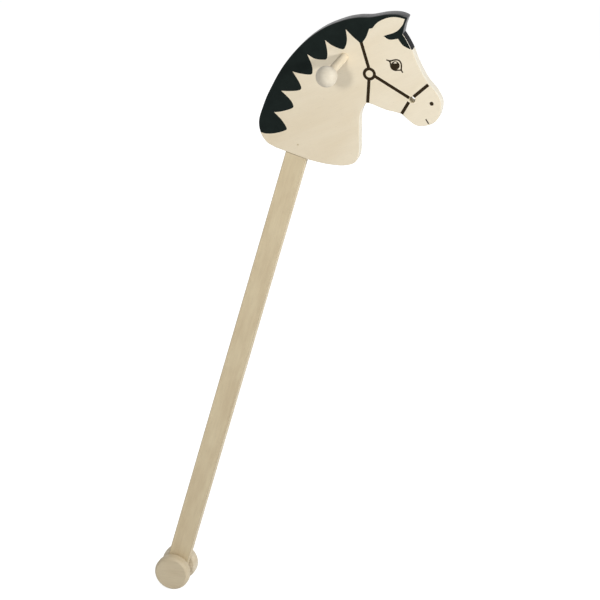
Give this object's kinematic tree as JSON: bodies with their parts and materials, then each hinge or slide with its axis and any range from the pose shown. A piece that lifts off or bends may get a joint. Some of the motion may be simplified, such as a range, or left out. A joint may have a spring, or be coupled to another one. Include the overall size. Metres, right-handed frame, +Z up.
{
  "type": "toy stick horse",
  "caption": "Stick horse with a flat printed plywood head, a knobbed handle through the neck and a pair of small wheels at the foot of the stick.",
  "frame": {"origin": "on the floor under the middle of the toy's bounding box", "axes": "+Z up, +X towards the nose, +Y to the horse's left; the stick leans 15.6 degrees from +Z towards +X, and the toy is the same on both sides of the XZ plane"},
  "size_m": [0.412, 0.213, 0.8969],
  "materials": {
    "printed_plywood": "clear satin lacquer over pale plywood, with a printed blue-black mane and dark brown bridle",
    "stick_wood": "clear satin lacquer, straight fine grain along the stick",
    "pin_wood": "end grain of a small brown peg",
    "handle_wood": "clear satin lacquer on a turned rod",
    "knob_wood": "clear satin lacquer on a pale turned ball",
    "axle_wood": "bare smooth dowel",
    "wheel_wood": "clear satin lacquer on a turned disc"
  },
  "bodies": {
    "horse": {"head_board": "printed_plywood", "stick": "stick_wood", "head_pin": "pin_wood", "handle_rod": "handle_wood", "knob_left": "knob_wood", "knob_right": "knob_wood"},
    "wheelset": {"axle": "axle_wood", "wheel_left": "wheel_wood", "wheel_right": "wheel_wood"}
  },
  "joints": [
    {"name": "wheel_spin", "type": "hinge", "parent": "horse", "child": "wheelset", "pos_m": [-0.18026, 0, 0.02575], "axis": [0, 1, 0], "continuous": true}
  ]
}
